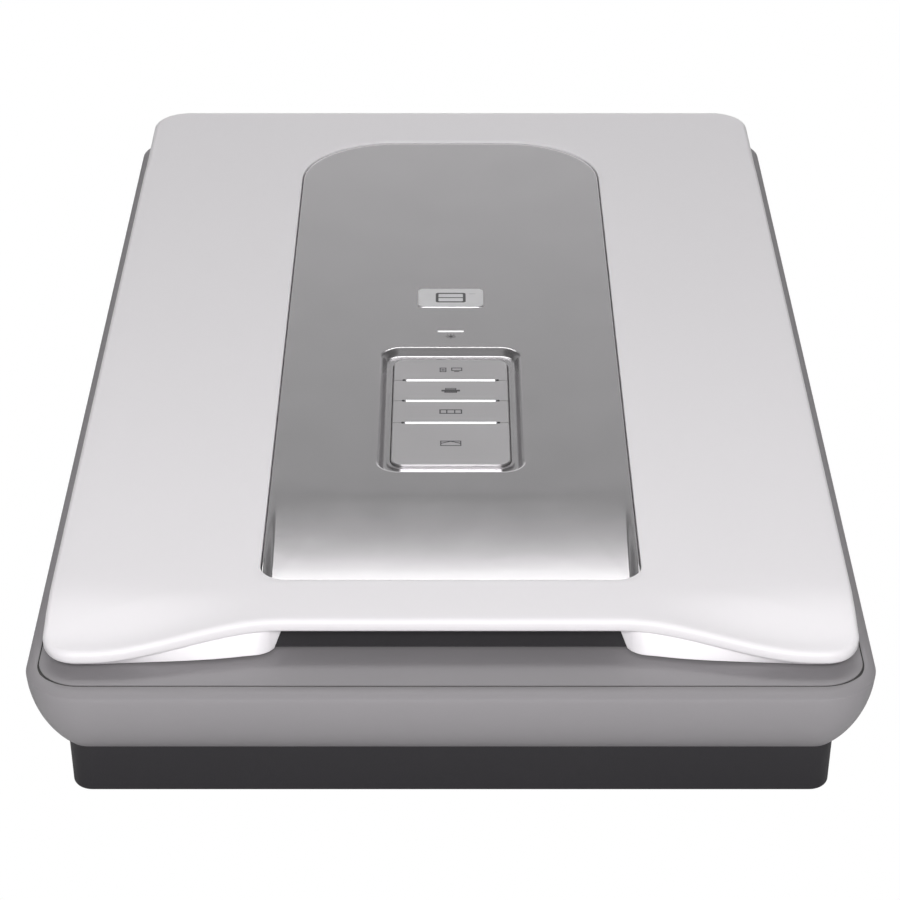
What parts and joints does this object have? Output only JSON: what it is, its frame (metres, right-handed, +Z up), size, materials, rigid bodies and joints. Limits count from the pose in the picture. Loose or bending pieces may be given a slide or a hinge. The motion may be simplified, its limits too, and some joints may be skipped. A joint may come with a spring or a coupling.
{
  "type": "flatbed scanner",
  "caption": "Flatbed scanner with a lifting hinged lid, sculpted thumb scoop, four sprung keys in the lid, glass bed and a belt driven scan carriage below it.",
  "frame": {"origin": "on the table under the middle of the scanner", "axes": "+Z up, front with the lid's grip towards -Y, +X to the user's right"},
  "size_m": [0.303, 0.506, 0.066],
  "materials": {
    "rubber": "matt",
    "dark_abs": "fine grained",
    "grey_abs": "satin",
    "panel_grey": "satin metallic",
    "key_grey": "satin",
    "lid_white": "semi gloss",
    "white_abs": "matt",
    "clear_glass": "polished",
    "mirror": "first surface",
    "lamp_glass": "frosted",
    "steel": "ground",
    "zinc_steel": "zinc plated",
    "aluminium": "bright rolled",
    "brass": "turned",
    "black_abs": "matt",
    "acetal": "slightly waxy",
    "belt_rubber": "matt",
    "board_green": "solder mask",
    "chip_black": "matt",
    "mat_foam": "matt sheet on foam",
    "light_bar": "translucent white",
    "badge_silver": "satin",
    "ribbon_grey": "flat cable"
  },
  "bodies": {
    "base": {"rubber_feet": "rubber", "lower_tub": "dark_abs", "body_shell": "grey_abs", "top_frame": "grey_abs", "scan_glass": "clear_glass", "calibration_strip": "white_abs", "case_screws": "zinc_steel", "post_guides": "dark_abs", "guide_rod": "steel", "rod_holders": "dark_abs", "slide_rail": "zinc_steel", "drive_belt": "belt_rubber", "gear_stud": "steel", "idler_bracket": "zinc_steel", "motor_bracket": "zinc_steel", "drive_motor": "zinc_steel", "main_board": "board_green", "board_parts": "chip_black", "board_screws": "zinc_steel", "usb_socket": "steel", "power_socket": "black_abs", "adapter_socket": "black_abs", "ribbon_cable": "ribbon_grey"},
    "carriage": {"carriage_housing": "black_abs", "carriage_cover": "black_abs", "scan_lamp": "lamp_glass", "lamp_reflector": "aluminium", "scan_mirrors": "mirror", "lens_block": "black_abs", "sensor_board": "board_green", "rod_bushes": "brass", "belt_clamp": "black_abs", "slider_pads": "acetal"},
    "drive_gear": {"drive_gear": "acetal"},
    "motor_pinion": {"motor_pinion": "brass"},
    "idler": {"idler_pulley": "acetal"},
    "hinge_posts": {"hinge_posts": "grey_abs"},
    "lid": {"lid_cover": "lid_white", "centre_panel": "panel_grey", "lid_inner_frame": "white_abs", "grip_wall": "dark_abs", "document_mat": "mat_foam", "adapter_diffuser": "light_bar", "adapter_lamps": "lamp_glass", "adapter_reflector": "aluminium", "key_surround": "panel_grey", "key_separators": "light_bar", "key_board": "board_green", "key_switches": "chip_black", "badge_plate": "badge_silver", "badge_emblem": "chip_black", "power_lens": "light_bar", "inverter_board": "board_green", "lid_screws": "zinc_steel", "hinge_pins": "steel"},
    "scan_key": {"scan_key": "key_grey"},
    "copy_key": {"copy_key": "key_grey"},
    "film_key": {"film_key": "key_grey"},
    "mail_key": {"mail_key": "key_grey"}
  },
  "joints": [
    {"name": "carriage_slide", "type": "slide", "parent": "base", "child": "carriage", "axis": [0, 1, 0], "range_m": [0, 0.305]},
    {"name": "drive_gear_turn", "type": "hinge", "parent": "base", "child": "drive_gear", "pos_m": [0.024, 0.178, 0.012], "axis": [0, 0, 1], "range_deg": [-2200, 10]},
    {"name": "motor_turn", "type": "hinge", "parent": "base", "child": "motor_pinion", "pos_m": [0.048, 0.178, 0.019], "axis": [0, 0, 1], "range_deg": [-40, 8800]},
    {"name": "idler_turn", "type": "hinge", "parent": "base", "child": "idler", "pos_m": [0.024, -0.222, 0.012], "axis": [0, 0, 1], "range_deg": [-2200, 10]},
    {"name": "hinge_lift", "type": "slide", "parent": "base", "child": "hinge_posts", "axis": [0, 0, 1], "range_m": [0, 0.016]},
    {"name": "lid_turn", "type": "hinge", "parent": "hinge_posts", "child": "lid", "pos_m": [0, 0.247, 0.056], "axis": [-1, 0, 0], "range_deg": [0, 88]},
    {"name": "scan_press", "type": "slide", "parent": "lid", "child": "scan_key", "axis": [0, 0, -1], "range_m": [0, 0.0008], "stiffness_N_per_m": 400, "springref_m": -0.0006},
    {"name": "copy_press", "type": "slide", "parent": "lid", "child": "copy_key", "axis": [0, 0, -1], "range_m": [0, 0.0008], "stiffness_N_per_m": 400, "springref_m": -0.0006},
    {"name": "film_press", "type": "slide", "parent": "lid", "child": "film_key", "axis": [0, 0, -1], "range_m": [0, 0.0008], "stiffness_N_per_m": 400, "springref_m": -0.0006},
    {"name": "mail_press", "type": "slide", "parent": "lid", "child": "mail_key", "axis": [0, 0, -1], "range_m": [0, 0.0008], "stiffness_N_per_m": 400, "springref_m": -0.0006}
  ],
  "couplings": [
    {"joint": "drive_gear_turn", "follows": "carriage_slide", "rad_per_m": -125},
    {"joint": "motor_turn", "follows": "carriage_slide", "rad_per_m": 500},
    {"joint": "idler_turn", "follows": "carriage_slide", "rad_per_m": -125}
  ]
}
